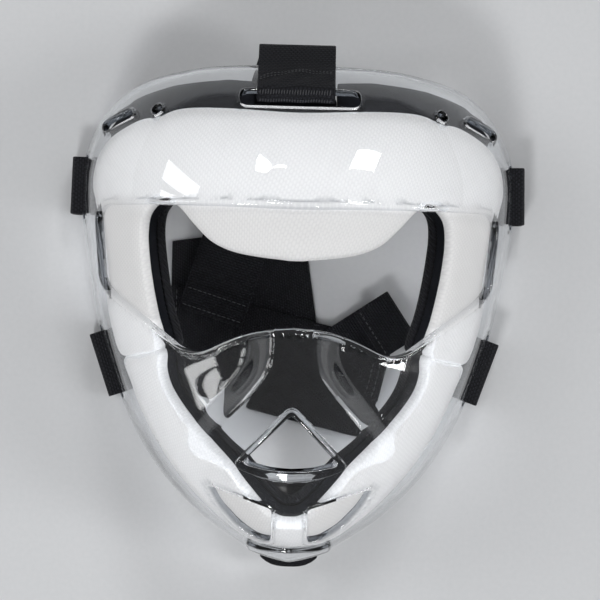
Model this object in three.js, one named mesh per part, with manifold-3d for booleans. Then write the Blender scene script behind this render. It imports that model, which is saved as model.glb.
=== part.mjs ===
// Field hockey face mask, lying face up on its strap loops: a clear moulded shell over two
// cushions, with a webbing harness folded into its hollow. Millimetres. +Z points out of the
// mask's face, +Y to its forehead, and left and right are as seen from the front.
import * as THREE from "three";
import { mergeVertices } from "three/addons/utils/BufferGeometryUtils.js";
import Module from "manifold-3d";

const wasm = await Module();
wasm.setup();

// Driving sizes of the shell
const halfWidth = 110.7; // of the rim, over the temples
const shellDepth = 118; // from the rim's lowest stretch to the nose
const domeCentreY = 22; // the middle of the eye opening, above the mask's middle
const wall = 3.2;
const gridCell = 11.5; // side of the facets that the curved sheets are made of
const outlineStep = 7; // longest stretch of a cut edge that stays straight
const weld = 0.0001; // corners closer than this are one

// Driving sizes of the fabric, foam and webbing
const webbing = 1.6; // thickness of every strap
const seamGap = 0.3; // between pieces that are sewn or glued together
const clearance = 0.7; // between the shell and the cushions
const layerGap = 1.3; // between the foam and its backing, glued here and there
const coverGap = 0.5; // between the foam and its cover
const overrun = 3; // how far a cutter reaches past what it cuts

// The dome. Every row is one step of angle up from the chin: the rim's distance from the dome's
// centre and its height as shares of the half width and the depth, and how square the dome is.
const rimShares = [
  [1.327, 0.18, 3.0],
  [1.236, 0.13, 2.9],
  [1.135, 0.06, 2.8],
  [1.044, 0.01, 2.7],
  [0.976, 0, 2.6],
  [0.953, 0, 2.55],
  [0.965, 0, 2.5],
  [1.039, 0, 2.4],
  [1.126, 0.02, 2.25],
  [1.117, 0.2, 2.05],
  [1.015, 0.365, 1.85],
  [0.937, 0.4, 1.7],
  [0.905, 0.41, 1.65],
];
// Every row is one step up the middle of the face, chin to forehead: the front's height as a
// share of the depth, and the nose's rise and half width as shares of the depth and half width.
const faceShares = [
  [1.034, 0, 0.5],
  [1.068, 0, 0.5],
  [1.034, 0, 0.5],
  [0.924, 0.07, 0.34],
  [0.831, 0.12, 0.17],
  [0.822, 0.1, 0.16],
  [0.847, 0.02, 0.16],
  [0.873, 0, 0.16],
  [0.886, 0, 0.16],
  [0.894, 0, 0.16],
  [0.89, 0, 0.16],
];
const faceReachShare = 1.13; // of the half width, from the middle to the first and last rows
const creaseShare = 0.07; // half the width of the crease beside the nose
const rimCutShare = 0.99; // the part of the full dome that the rim leaves
const rimTurn = THREE.MathUtils.degToRad(78); // how far the dome has turned at the rim
const flatShare = 0.8; // length of the sheet from centre to rim, to radius plus height
const sideReachShare = 1.2; // the sheet's widest reach, to its reach at the side

const rimLift = webbing + clearance + seamGap; // the strap loops pass under the rim
const rimRows = [...rimShares, ...rimShares.slice(1, -1).reverse()];
const rimCurve = new THREE.CatmullRomCurve3(
  rimRows.map((row) => new THREE.Vector3(...row)),
  true,
  "catmullrom",
  0.5,
);
const faceCurve = new THREE.CatmullRomCurve3(
  faceShares.map((row) => new THREE.Vector3(...row)),
  false,
  "catmullrom",
  0.5,
);

// The rim in one direction from the dome's centre
function rimAt(angle) {
  const turn = (angle + Math.PI / 2) / (2 * Math.PI);
  const row = rimCurve.getPoint(turn - Math.floor(turn));
  const radius = row.x * halfWidth;
  const height = rimLift + row.y * shellDepth;
  const length = flatShare * (radius + shellDepth - height);
  return { radius, height, length, fullness: row.z };
}

// Height of the dome at a place seen from the front; the cushions leave out the nose
function domeHeight(x, y, nose) {
  const reach = faceReachShare * halfWidth;
  const along = THREE.MathUtils.clamp((y + reach) / (2 * reach), 0, 1);
  const face = faceCurve.getPoint(along);
  const crease = creaseShare * halfWidth;
  const noseEdge = face.z * halfWidth;
  const rise = THREE.MathUtils.smoothstep(-Math.abs(x), -noseEdge - crease, crease - noseEdge);
  const front = (face.x + nose * face.y * rise) * shellDepth;
  const rim = rimAt(Math.atan2(y - domeCentreY, x));
  const out = Math.hypot(x, y - domeCentreY) / rim.radius;
  const fall = (share) => (1 - share ** rim.fullness) ** (1 / rim.fullness);
  const left = (fall(rimCutShare * out) - fall(rimCutShare)) / (1 - fall(rimCutShare));
  return rim.height + (front - rim.height) * left;
}

// The sheets are cut flat and then laid on the dome: a flat place to a point in space
function domePoint(across, up, nose) {
  const angle = Math.atan2(up, across);
  const rim = rimAt(angle);
  const turned = (Math.hypot(across, up) / rim.length) * rimTurn;
  const out = (rim.radius * Math.sin(turned)) / Math.sin(rimTurn);
  const x = out * Math.cos(angle);
  const y = domeCentreY + out * Math.sin(angle);
  return new THREE.Vector3(x, y, domeHeight(x, y, nose));
}

const slopeStep = gridCell / 20;

function domeNormal(across, up, nose) {
  const right = domePoint(across + slopeStep, up, nose);
  const left = domePoint(across - slopeStep, up, nose);
  const above = domePoint(across, up + slopeStep, nose);
  const below = domePoint(across, up - slopeStep, nose);
  return right.sub(left).cross(above.sub(below)).normalize();
}

// A place seen from the front to its flat place
function flatPlace(x, y) {
  const angle = Math.atan2(y - domeCentreY, x);
  const rim = rimAt(angle);
  const out = Math.hypot(x, y - domeCentreY) / rim.radius;
  const length = (Math.asin(out * Math.sin(rimTurn)) / rimTurn) * rim.length;
  return new THREE.Vector2(length * Math.cos(angle), length * Math.sin(angle));
}

// A point on the shell's outer face, seen from the front, or off it by a distance
function onShell(x, y, off) {
  const flat = flatPlace(x, y);
  return domePoint(flat.x, flat.y, 1).addScaledVector(domeNormal(flat.x, flat.y, 1), off);
}

// Solids
function solidOf(geometry) {
  const bare = geometry.clone();
  bare.deleteAttribute("normal");
  bare.deleteAttribute("uv");
  const merged = mergeVertices(bare, weld);
  const mesh = new wasm.Mesh({
    numProp: 3,
    vertProperties: new Float32Array(merged.attributes.position.array),
    triVerts: new Uint32Array(merged.index.array),
  });
  return new wasm.Manifold(mesh);
}

function geometryOf(solid) {
  const mesh = solid.getMesh();
  const geometry = new THREE.BufferGeometry();
  const points = new Float32Array(mesh.vertProperties);
  geometry.setAttribute("position", new THREE.BufferAttribute(points, 3));
  geometry.setIndex(new THREE.BufferAttribute(new Uint32Array(mesh.triVerts), 1));
  geometry.computeVertexNormals();
  return geometry;
}

// Flat sheet with a grid, so that it can bend, between two depths
const chinLength = rimAt(-Math.PI / 2).length;
const crownLength = rimAt(Math.PI / 2).length;
const sideLength = sideReachShare * rimAt(0).length;
const columns = 2 * Math.ceil((sideLength + overrun) / gridCell);
const rows = Math.ceil((chinLength + crownLength + 2 * overrun) / gridCell);

function sheet(low, high) {
  const height = chinLength + crownLength + 2 * overrun;
  const width = 2 * (sideLength + overrun);
  const box = new THREE.BoxGeometry(width, height, high - low, columns, rows, 1);
  return solidOf(box.translate(0, (crownLength - chinLength) / 2, (low + high) / 2));
}

function prism(points, low, high) {
  const geometry = new THREE.ExtrudeGeometry(new THREE.Shape(points), {
    depth: high - low,
    bevelEnabled: false,
  });
  return solidOf(geometry.translate(0, 0, low));
}

// Lays a flat solid on the dome, its third coordinate being the distance off the outer face
function laidOnDome(solid, nose) {
  const geometry = geometryOf(solid);
  const position = geometry.attributes.position;
  for (let i = 0; i < position.count; i += 1) {
    const across = position.getX(i);
    const up = position.getY(i);
    const point = domePoint(across, up, nose);
    point.addScaledVector(domeNormal(across, up, nose), position.getZ(i));
    position.setXYZ(i, point.x, point.y, point.z);
  }
  geometry.computeVertexNormals();
  return geometry;
}

// Outlines seen from the front. A corner is its place and how far back its rounding starts, in
// shares of the half width.
function roundedPoints(corners, steps) {
  const path = new THREE.Path();
  corners.forEach(([x, y, round], i) => {
    const corner = new THREE.Vector2(x, y);
    const before = new THREE.Vector2(...corners.at(i - 1));
    const after = new THREE.Vector2(...corners[(i + 1) % corners.length]);
    const start = corner.clone().lerp(before, round / corner.distanceTo(before));
    const end = corner.clone().lerp(after, round / corner.distanceTo(after));
    if (i === 0) path.moveTo(start.x, start.y);
    else path.lineTo(start.x, start.y);
    if (round > 0) path.quadraticCurveTo(x, y, end.x, end.y);
  });
  path.closePath();
  return path.getPoints(steps);
}

const sameShare = 1e-4; // steps shorter than this share of the longest are dropped

// Long straight stretches get points of their own, so that they follow the dome
function finePoints(points, longest) {
  const fine = [];
  points.forEach((point, i) => {
    const next = points[(i + 1) % points.length];
    const count = Math.ceil(point.distanceTo(next) / longest - sameShare);
    for (let k = 0; k < count; k += 1) fine.push(point.clone().lerp(next, k / count));
  });
  return fine;
}

const scaled = (shares) => shares.map((row) => row.map((share) => share * halfWidth));
const mirrored = (corners) => corners.map(([x, ...rest]) => [-x, ...rest]).reverse();
// Both halves of an outline whose first and last corners lie on the middle
const bothHalves = (half) => [...half, ...mirrored(half.slice(1, -1))];

function flatOutline(corners) {
  const points = finePoints(roundedPoints(corners, 3), outlineStep);
  return points.map((point) => flatPlace(point.x, point.y));
}

function flatSmoothOutline(corners, count) {
  const places = corners.map(([x, y]) => new THREE.Vector3(x, y, 0));
  const curve = new THREE.CatmullRomCurve3(places, true, "centripetal");
  return curve.getSpacedPoints(count).slice(1).map((point) => flatPlace(point.x, point.y));
}

// Openings of the shell
const eyeShares = [
  [0, 0.45, 0],
  [0.891, 0.461, 0.08],
  [0.868, 0.13, 0.03],
  [0.822, 0.074, 0.038],
  [0.436, -0.196, 0.09],
  [0.28, -0.117, 0.055],
  [0.145, -0.068, 0.06],
  [0, -0.057, 0],
];
const mouthShares = [
  [0, -0.426, 0.022],
  [0.203, -0.633, 0.03],
  [0.1, -0.658, 0.03],
  [0, -0.664, 0],
];
const mouthLipShares = [
  [0, -0.39, 0.036],
  [0.25, -0.65, 0.045],
  [0.12, -0.7, 0.05],
  [0, -0.712, 0],
];
const chinVentShares = [
  [0.077, -0.842, 0.015],
  [0.08, -1.0, 0.018],
  [0.15, -1.008, 0.03],
  [0.235, -0.95, 0.04],
  [0.33, -0.866, 0.04],
  [0.39, -0.748, 0.016],
];
const chinLipShares = [
  [0, -1.03, 0],
  [0.17, -1.022, 0.03],
  [0.215, -0.995, 0.03],
  [0.2, -1.06, 0.03],
  [0, -1.115, 0],
];
const templeSlotShares = [
  [0.72, 0.866, 0.012],
  [0.748, 0.903, 0.028],
  [0.912, 0.808, 0.028],
  [0.884, 0.759, 0.028],
];
const rimSteps = 72;
const lipRise = 2.2; // of the rolled edges round the mouth and under the chin
const crownSlotDrop = 20.2; // from the rim down to the slot's middle
const crownSlotY = domeCentreY + rimAt(Math.PI / 2).radius - crownSlotDrop;
const crownSlotHalfLength = 29;
const crownSlotHalfWidth = 6;
const ventHoleRadius = 3.6;
const ventHoleShares = [0.626, 0.88];

// Side straps: where each passes through the wall and how wide it is
const loopSlotRise = 11.4; // along the wall, from the rim to the slot's middle
const loopSlotHalf = 3.3;
const slotEndGap = 1.8;
const templeStrapY = 62;
const templeStrapWidth = 29;
const templeStrapLength = 30;
const jawStrapY = -28;
const jawStrapWidth = 33;
const jawStrapLength = 15;
const sideStraps = [
  { name: "temple", y: templeStrapY, width: templeStrapWidth, inward: templeStrapLength },
  { name: "jaw", y: jawStrapY, width: jawStrapWidth, inward: jawStrapLength },
];

// The rim's angle on the right side at a height seen from the front
function rimAngle(y) {
  let low = -Math.PI / 2;
  let high = Math.PI / 2;
  for (let i = 0; i < 40; i += 1) {
    const middle = (low + high) / 2;
    if (domeCentreY + rimAt(middle).radius * Math.sin(middle) < y) low = middle;
    else high = middle;
  }
  return low;
}

function loopSlotOutline(strap, side) {
  const halfLength = strap.width / 2 + slotEndGap;
  const first = rimAngle(strap.y - halfLength);
  const last = rimAngle(strap.y + halfLength);
  const steps = 4;
  const edge = (rise) =>
    Array.from({ length: steps + 1 }, (_, i) => {
      const angle = first + ((last - first) * i) / steps;
      const length = rimAt(angle).length - rise;
      return new THREE.Vector2(side * length * Math.cos(angle), length * Math.sin(angle));
    });
  return [...edge(loopSlotRise - loopSlotHalf), ...edge(loopSlotRise + loopSlotHalf).reverse()];
}

function shellGeometry() {
  const rimPoints = Array.from({ length: rimSteps }, (_, i) => {
    const angle = (i / rimSteps) * 2 * Math.PI;
    const { length } = rimAt(angle);
    return new THREE.Vector2(length * Math.cos(angle), length * Math.sin(angle));
  });
  const cut = (points) => prism(points, -wall - overrun, lipRise + overrun);
  const raised = (points) => sheet(-wall / 2, lipRise).intersect(cut(points));
  const round = (corners) => flatOutline(scaled(corners));
  const slotCorners = [
    [-crownSlotHalfLength, crownSlotY - crownSlotHalfWidth, crownSlotHalfWidth],
    [crownSlotHalfLength, crownSlotY - crownSlotHalfWidth, crownSlotHalfWidth],
    [crownSlotHalfLength, crownSlotY + crownSlotHalfWidth, crownSlotHalfWidth],
    [-crownSlotHalfLength, crownSlotY + crownSlotHalfWidth, crownSlotHalfWidth],
  ];
  let shell = sheet(-wall, 0);
  shell = shell.add(raised(round(bothHalves(mouthLipShares))));
  shell = shell.add(raised(round(bothHalves(chinLipShares))));
  shell = shell.intersect(cut(rimPoints));
  shell = shell.subtract(cut(round(bothHalves(eyeShares))));
  shell = shell.subtract(cut(round(bothHalves(mouthShares))));
  shell = shell.subtract(cut(flatOutline(slotCorners)));
  for (const side of [1, -1]) {
    const turned = (corners) => (side > 0 ? corners : mirrored(corners));
    shell = shell.subtract(cut(round(turned(chinVentShares))));
    shell = shell.subtract(cut(round(turned(templeSlotShares))));
    const hole = flatPlace(side * ventHoleShares[0] * halfWidth, ventHoleShares[1] * halfWidth);
    const circle = new THREE.Path().absarc(hole.x, hole.y, ventHoleRadius, 0, 2 * Math.PI);
    shell = shell.subtract(cut(circle.getPoints(12).slice(1)));
    for (const strap of sideStraps) shell = shell.subtract(cut(loopSlotOutline(strap, side)));
  }
  return laidOnDome(shell, 1);
}

// Cushions, seen from the front: half outlines in shares of the half width, from top to bottom
const foreheadHalfShares = [
  [0, 0.912],
  [0.316, 0.921],
  [0.56, 0.917],
  [0.723, 0.881],
  [0.858, 0.786],
  [0.917, 0.678],
  [0.935, 0.56],
  [0.917, 0.479],
  [0.899, 0.397],
  [0.876, 0.226],
  [0.856, 0.036],
  [0.831, -0.09],
  [0.781, -0.205],
  [0.688, -0.194],
  [0.612, -0.166],
  [0.648, -0.036],
  [0.675, 0.081],
  [0.695, 0.199],
  [0.704, 0.325],
  [0.685, 0.43],
  [0.61, 0.496],
  [0.535, 0.466],
  [0.461, 0.386],
  [0.379, 0.309],
  [0.28, 0.265],
  [0.145, 0.243],
  [0, 0.234],
];
const jawHalfShares = [
  [0, -0.935],
  [0.06, -0.928],
  [0.122, -0.885],
  [0.168, -0.835],
  [0.23, -0.755],
  [0.294, -0.662],
  [0.382, -0.565],
  [0.487, -0.462],
  [0.572, -0.347],
  [0.602, -0.26],
  [0.606, -0.186],
  [0.688, -0.212],
  [0.77, -0.229],
  [0.732, -0.334],
  [0.691, -0.434],
  [0.623, -0.56],
  [0.542, -0.678],
  [0.425, -0.813],
  [0.307, -0.912],
  [0.181, -0.985],
  [0, -1.016],
];
// The bare edge of the forehead's foam, which stands out past its cover along the top
const foreheadEdgeShares = [
  [0, 1.015],
  [0.32, 1.02],
  [0.56, 1.0],
  [0.76, 0.95],
  [0.895, 0.835],
  [0.87, 0.74],
  [0.72, 0.8],
  [0.5, 0.85],
  [0, 0.85],
];
const cushionThickness = 18;
const coverThickness = 1.4;
const coverDepth = 4.6; // how far the cover wraps round the foam
const foamDepth = 10.4; // from the front of the cover to the back of the foam
const cushionRound = 3;
const backRound = 4;
const skim = 0.05; // taken off the rounded blocks so that their faces keep the grid
const foreheadSteps = 64;
const jawSteps = 56;

// A flat block between two depths with rounded edges, above, below or both
function cushionBlock(points, inset, low, high, roundAbove, roundBelow) {
  const round = Math.max(roundAbove, roundBelow);
  const top = high + (roundAbove > 0 ? 0 : 2 * round);
  const bottom = low - (roundBelow > 0 ? 0 : 2 * round);
  const geometry = new THREE.ExtrudeGeometry(new THREE.Shape(points), {
    depth: top - bottom - 2 * round,
    bevelEnabled: true,
    bevelThickness: round,
    bevelSize: round,
    bevelOffset: -round - inset,
    bevelSegments: 2,
  });
  const block = solidOf(geometry.translate(0, 0, bottom + round));
  return sheet(low + skim, high - skim).intersect(block);
}

function plainBlock(points, low, high) {
  return sheet(low, high).intersect(prism(points, low - overrun, high + overrun));
}

const cushionFront = -wall - clearance;
const coverEnd = cushionFront - coverDepth;
const foamEnd = cushionFront - foamDepth;
const coreFront = cushionFront - coverThickness - coverGap;
const coreInset = coverThickness + coverGap;

function coverSolid(points) {
  const cup = cushionBlock(points, 0, coverEnd, cushionFront, cushionRound, 0);
  const hollowEnd = coverEnd - overrun;
  const hollowFront = cushionFront - coverThickness;
  return cup.subtract(
    cushionBlock(points, coverThickness, hollowEnd, hollowFront, cushionRound, 0),
  );
}

// The foam fills the cover, and its bare side shows behind the cover's edge
function coreSolid(points) {
  const filling = cushionBlock(points, coreInset, foamEnd + coverThickness, coreFront, cushionRound, 0);
  return filling.add(plainBlock(points, foamEnd, coverEnd - coverGap));
}

function backingSolid(points) {
  const back = cushionFront - cushionThickness;
  return cushionBlock(points, 0, back, foamEnd - layerGap, 0, backRound);
}

const foreheadPoints = flatSmoothOutline(scaled(bothHalves(foreheadHalfShares)), foreheadSteps);
const jawPoints = flatSmoothOutline(scaled(bothHalves(jawHalfShares)), jawSteps);
const edgePoints = flatOutline(scaled(bothHalves(foreheadEdgeShares)).map(([x, y]) => [x, y, 0]));

// Straps. A route lies in an upright plane: corners of distance along, height and rounding.
function routePoints(corners, closed) {
  const path = new THREE.Path();
  corners.forEach(([x, y, round], i) => {
    const corner = new THREE.Vector2(x, y);
    const inner = closed || (i > 0 && i < corners.length - 1);
    const before = new THREE.Vector2(...corners.at(i - 1));
    const after = new THREE.Vector2(...corners[(i + 1) % corners.length]);
    const start = inner ? corner.clone().lerp(before, round / corner.distanceTo(before)) : corner;
    const end = inner ? corner.clone().lerp(after, round / corner.distanceTo(after)) : corner;
    if (i === 0) path.moveTo(start.x, start.y);
    else path.lineTo(start.x, start.y);
    if (inner) path.quadraticCurveTo(x, y, end.x, end.y);
  });
  return path.getPoints(4);
}

function offsetPoints(points, off, closed) {
  return points.map((point, i) => {
    const last = points.length - 1;
    const before = points[i > 0 ? i - 1 : closed ? last : 0];
    const after = points[i < last ? i + 1 : closed ? 0 : last];
    const into = point.clone().sub(before).normalize();
    const away = after.clone().sub(point).normalize();
    const along = into.add(away).normalize();
    const turn = Math.max(0.5, along.dot(away.lengthSq() > 0 ? away : along));
    return new THREE.Vector2(-along.y, along.x).multiplyScalar(off / turn).add(point);
  });
}

function strapGeometry(corners, width, thickness, closed) {
  const points = routePoints(corners, closed);
  const outer = offsetPoints(points, thickness / 2, closed);
  const inner = offsetPoints(points, -thickness / 2, closed);
  inner.reverse();
  const shape = new THREE.Shape(closed ? outer : [...outer, ...inner]);
  if (closed) shape.holes.push(new THREE.Path(inner));
  const geometry = new THREE.ExtrudeGeometry(shape, { depth: width, bevelEnabled: false });
  return geometry.translate(0, 0, -width / 2);
}

// Stands a strap's side view up at a place, running off in a heading
function standing(mesh, x, y, heading) {
  const group = new THREE.Group();
  group.position.set(x, y, 0);
  group.rotation.z = heading;
  mesh.rotation.x = Math.PI / 2;
  return group.add(mesh);
}

// Materials
const look = (color, roughness, more) =>
  new THREE.MeshStandardMaterial({ color, roughness, metalness: 0, ...more });
const clearPlastic = () => look(0xe8f0f4, 0.08, { transparent: true, opacity: 0.35 });
const whiteKnit = () => look(0xf2f3f4, 0.95);
const blackFoam = () => look(0x17181b, 0.9);
const blackWebbing = () => look(0x101216, 0.8);
const blackElastic = () => look(0x1b1c20, 0.85);
const hookTape = () => look(0x0c0d0f, 0.95);

function named(name, geometry, material) {
  const mesh = new THREE.Mesh(geometry, material);
  mesh.name = name;
  return mesh;
}

// Crown strap: a sewn loop through the top slot and round the rim anchors it
const crownWidth = 38;
const crownStrapWidth = 34;
const crownX = -2;
const loopSlack = 1.2; // how loosely a loop goes round the wall
const foldReach = 10; // of the folded loop, past the rim
const foldDrop = 5; // from one layer of the fold to the other
const crownDrop = 28; // along the strap, from the fold down to the hollow's floor
const crownLap = 15.6; // of the strap's end, over the rear band
const crownHeading = THREE.MathUtils.degToRad(-107);

// Rear band: an elastic band folded at its left end, with one layer under the other
const bandWidth = 52;
const bandLeftInset = 42.8; // from the rim to the fold
const bandRightInset = 61.7; // from the rim to the band's right end
const bandLeftY = -14;
const bandTurn = THREE.MathUtils.degToRad(-13);
const returnTurn = THREE.MathUtils.degToRad(9);
const returnLength = 72;
const returnLeftY = 9;
const curlWidth = 28;
const curlLength = 40;
const curlHeight = 7;
const curlInset = 24.1; // from the band's right end to the middle of the curl's start
const curlY = -22;
const curlTurn = THREE.MathUtils.degToRad(34);

// Side straps and the tab under the chin
const outerSlack = 2.2; // between the rim and the outside of a side loop
const tailShort = 3; // how much shorter a hooked tail is than its strap
const chinTabWidth = 29;
const chinTabReach = 6.5; // past the rim
const chinTabDrop = 5.8; // below the rim
const chinTabSlack = 0.8; // between the edges of the flat tab and the curved back of the cushion
const chinCurveShare = 3.3; // how much the back of the cushion curves at the chin
const chinTabTopShare = -0.99;
const chinTabSewnShare = -1.05;

const halfWebbing = webbing / 2;
const floorLayer = seamGap + halfWebbing;
const layerStep = webbing + seamGap;
const mask = new THREE.Group();

function addShellAndCushions() {
  const notchHalf = crownWidth / 2 + loopSlack;
  const notchTop = rimAt(Math.PI / 2).radius + domeCentreY;
  const notchBottom = crownSlotY + loopSlack;
  const notchCorners = [
    [crownX - notchHalf, notchBottom, 0],
    [crownX + notchHalf, notchBottom, 0],
    [crownX + notchHalf, notchTop, 0],
    [crownX - notchHalf, notchTop, 0],
  ];
  const notch = prism(flatOutline(notchCorners), foamEnd - overrun, 0);
  const edge = plainBlock(edgePoints, foamEnd + skim, coreFront - skim);
  const roomPoints = offsetPoints(edgePoints, coverGap, true);
  const edgeRoom = plainBlock(roomPoints, coverEnd - overrun, coreFront + coverGap);
  const foreheadCover = coverSolid(foreheadPoints).subtract(edgeRoom);
  const foreheadCore = coreSolid(foreheadPoints).add(edge).subtract(notch);
  const pieces = [
    ["forehead_pad_cover", foreheadCover, whiteKnit()],
    ["forehead_pad_foam", foreheadCore, blackFoam()],
    ["forehead_pad_backing", backingSolid(foreheadPoints), blackFoam()],
    ["jaw_pad_cover", coverSolid(jawPoints), whiteKnit()],
    ["jaw_pad_foam", coreSolid(jawPoints), blackFoam()],
    ["jaw_pad_backing", backingSolid(jawPoints), blackFoam()],
  ];
  mask.add(named("face_shell", shellGeometry(), clearPlastic()));
  for (const [name, solid, material] of pieces) {
    mask.add(named(name, laidOnDome(solid, 0), material));
  }
}

function addCrownStrap() {
  const top = rimAt(Math.PI / 2);
  const rimY = domeCentreY + top.radius;
  const slotY = crownSlotY + crownSlotHalfWidth - loopSlack - halfWebbing;
  const off = loopSlack + halfWebbing;
  const slotOut = onShell(crownX, slotY, off);
  const slotIn = onShell(crownX, slotY, -wall - off);
  const rimOut = onShell(crownX, rimY - off, off);
  const foldY = rimY + foldReach;
  const foldLow = top.height - foldDrop - off;
  const corners = [
    [slotOut.y, slotOut.z, off],
    [rimOut.y, rimOut.z, off],
    [foldY, foldLow + foldDrop, off],
    [foldY, foldLow, off],
    [rimY - wall - off, top.height - wall - off, off],
    [slotIn.y, slotIn.z, off],
  ];
  const loop = strapGeometry(corners, crownWidth, webbing, true);
  mask.add(standing(named("crown_strap_loop", loop, blackWebbing()), crownX, 0, Math.PI / 2));

  // The strap turns under the fold, where its end is cut level with the fold
  const turn = crownHeading + Math.PI / 2;
  const startZ = foldLow - webbing - seamGap;
  const endZ = floorLayer + 2 * layerStep;
  const bandTop = bandLeftY + bandWidth / 2;
  const crownRun = (foldY - bandTop + crownLap) / Math.cos(turn);
  const route = [
    [-crownStrapWidth / 2, startZ, 0],
    [crownDrop / 2, startZ - foldDrop, foldDrop],
    [1.6 * crownDrop, endZ + foldDrop, 2 * foldDrop],
    [2.4 * crownDrop, endZ, 2 * foldDrop],
    [crownRun, endZ, 0],
  ];
  const strap = strapGeometry(route, crownStrapWidth, webbing, false);
  strap.rotateX(Math.PI / 2).rotateZ(-Math.PI / 2 + turn).translate(crownX, foldY, 0);
  const beyond = new THREE.BoxGeometry(2 * crownWidth, crownWidth, 2 * startZ);
  beyond.translate(crownX, foldY + crownWidth / 2, startZ);
  const cut = solidOf(strap).subtract(solidOf(beyond));
  mask.add(named("crown_strap", geometryOf(cut), blackWebbing()));
}

// A layer of the rear band seen from above: its left edge lies on the fold, its right end is square
function bandLayer(leftY, turn, length, low) {
  const half = bandWidth / 2;
  const endX = length * Math.cos(turn);
  const endY = leftY + length * Math.sin(turn);
  const outline = [
    new THREE.Vector2(0, leftY - half / Math.cos(turn)),
    new THREE.Vector2(endX + half * Math.sin(turn), endY - half * Math.cos(turn)),
    new THREE.Vector2(endX - half * Math.sin(turn), endY + half * Math.cos(turn)),
    new THREE.Vector2(0, leftY + half / Math.cos(turn)),
  ];
  return prism(outline, low, low + webbing);
}

function addRearBand() {
  const side = rimAt(0).radius;
  const bandLeftX = bandLeftInset - side;
  const bandRightX = side - bandRightInset;
  const bandLength = (bandRightX - bandLeftX) / Math.cos(bandTurn);
  const upper = bandLayer(bandLeftY, bandTurn, bandLength, seamGap + layerStep);
  const lower = bandLayer(returnLeftY, returnTurn, returnLength, seamGap);
  const foldLow = returnLeftY - bandWidth / 2 / Math.cos(returnTurn);
  const foldHigh = bandLeftY + bandWidth / 2 / Math.cos(bandTurn);
  const foldOutline = [
    new THREE.Vector2(0, foldLow),
    new THREE.Vector2(webbing, foldLow),
    new THREE.Vector2(webbing, foldHigh),
    new THREE.Vector2(0, foldHigh),
  ];
  const fold = prism(foldOutline, seamGap, seamGap + layerStep + webbing);
  const band = geometryOf(upper.add(lower).add(fold));
  mask.add(named("rear_band", band.translate(bandLeftX, 0, 0), blackElastic()));

  const curlLayer = floorLayer + 2 * layerStep;
  const curl = [
    [0, curlLayer, 0],
    [curlLength, curlLayer, curlHeight / 2],
    [curlLength, curlLayer + curlHeight, curlHeight / 2],
    [curlLength / 2, curlLayer + curlHeight, 0],
  ];
  const curlGeometry = strapGeometry(curl, curlWidth, webbing, false);
  const curlMesh = named("rear_band_end", curlGeometry, blackWebbing());
  mask.add(standing(curlMesh, bandRightX - curlInset, curlY, curlTurn));
}

// One side strap: its loop through the wall, the strap folded in and its hooked tail
function addSideStrap(strap, side) {
  const angle = rimAngle(strap.y);
  const rim = rimAt(angle);
  const above = rimAngle(strap.y + strap.width / 2);
  const below = rimAngle(strap.y - strap.width / 2);
  const place = (turn) => {
    const { radius } = rimAt(turn);
    return new THREE.Vector2(radius * Math.cos(turn), domeCentreY + radius * Math.sin(turn));
  };
  const along = place(above).sub(place(below)).normalize();
  const rimPlace = place(angle);
  const slotLength = rim.length - loopSlotRise;
  const slot = domePoint(slotLength * Math.cos(angle), slotLength * Math.sin(angle), 1);
  const lean = (rimPlace.x - slot.x) * along.y - (rimPlace.y - slot.y) * along.x;
  const heading = Math.atan2(-along.x, along.y);
  const turned = side > 0 ? heading : Math.PI - heading;
  const add = (name, geometry, material) => {
    const mesh = named(`${side > 0 ? "right" : "left"}_${strap.name}_${name}`, geometry, material);
    mask.add(standing(mesh, side * rimPlace.x, rimPlace.y, turned));
  };

  const outside = outerSlack + halfWebbing;
  const inside = -lean - wall - 2 * loopSlack - halfWebbing;
  const ring = [
    [outside, halfWebbing, webbing],
    [inside, halfWebbing, webbing],
    [inside, slot.z, webbing],
    [outside, slot.z, webbing],
  ];
  add("strap_loop", strapGeometry(ring, strap.width, webbing, true), blackWebbing());

  const start = inside - halfWebbing - seamGap;
  const end = start - strap.inward;
  const route = [
    [start, floorLayer, 0],
    [end, floorLayer, 0],
  ];
  add("strap", strapGeometry(route, strap.width, webbing, false), blackElastic());
  const tail = [
    [end, floorLayer + layerStep, 0],
    [start - tailShort, floorLayer + layerStep, 0],
  ];
  add("strap_tail", strapGeometry(tail, strap.width - seamGap, webbing, false), hookTape());
}

function addChinTab() {
  const rim = rimAt(-Math.PI / 2);
  const rimY = domeCentreY - rim.radius;
  const edgeRim = rimAt(Math.asin(chinTabWidth / 2 / rim.radius) - Math.PI / 2);
  const thickness = 1.5 * webbing;
  const curve = (chinCurveShare * (chinTabWidth / 2) ** 2) / halfWidth;
  const back = cushionFront - cushionThickness - curve - chinTabSlack - thickness / 2;
  const backPoint = (share) => {
    const flat = flatPlace(0, share * halfWidth);
    const point = domePoint(flat.x, flat.y, 0);
    return point.addScaledVector(domeNormal(flat.x, flat.y, 0), back);
  };
  const top = backPoint(chinTabTopShare);
  const sewn = backPoint(chinTabSewnShare);
  const low = edgeRim.height - chinTabDrop;
  const route = [
    [top.y, top.z, 0],
    [sewn.y, sewn.z, thickness],
    [rimY + wall + chinTabReach, low + thickness / 2, 2 * thickness],
    [rimY - chinTabReach, low - thickness / 2, 0],
  ];
  const geometry = strapGeometry(route, chinTabWidth, thickness, false);
  mask.add(standing(named("chin_tab", geometry, blackWebbing()), 0, 0, Math.PI / 2));
}

addShellAndCushions();
addCrownStrap();
addRearBand();
for (const strap of sideStraps) {
  for (const side of [-1, 1]) addSideStrap(strap, side);
}
addChinTab();

// The mask lies over the middle of its frame
const middle = new THREE.Box3().setFromObject(mask, true).getCenter(new THREE.Vector3());
mask.position.set(-middle.x, -middle.y, 0);

export default new THREE.Group().add(mask);
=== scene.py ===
# Field hockey face mask, lying face up on its strap loops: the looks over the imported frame
import math

import bmesh
import bpy
import numpy as np
from mathutils import Matrix, Vector


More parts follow.
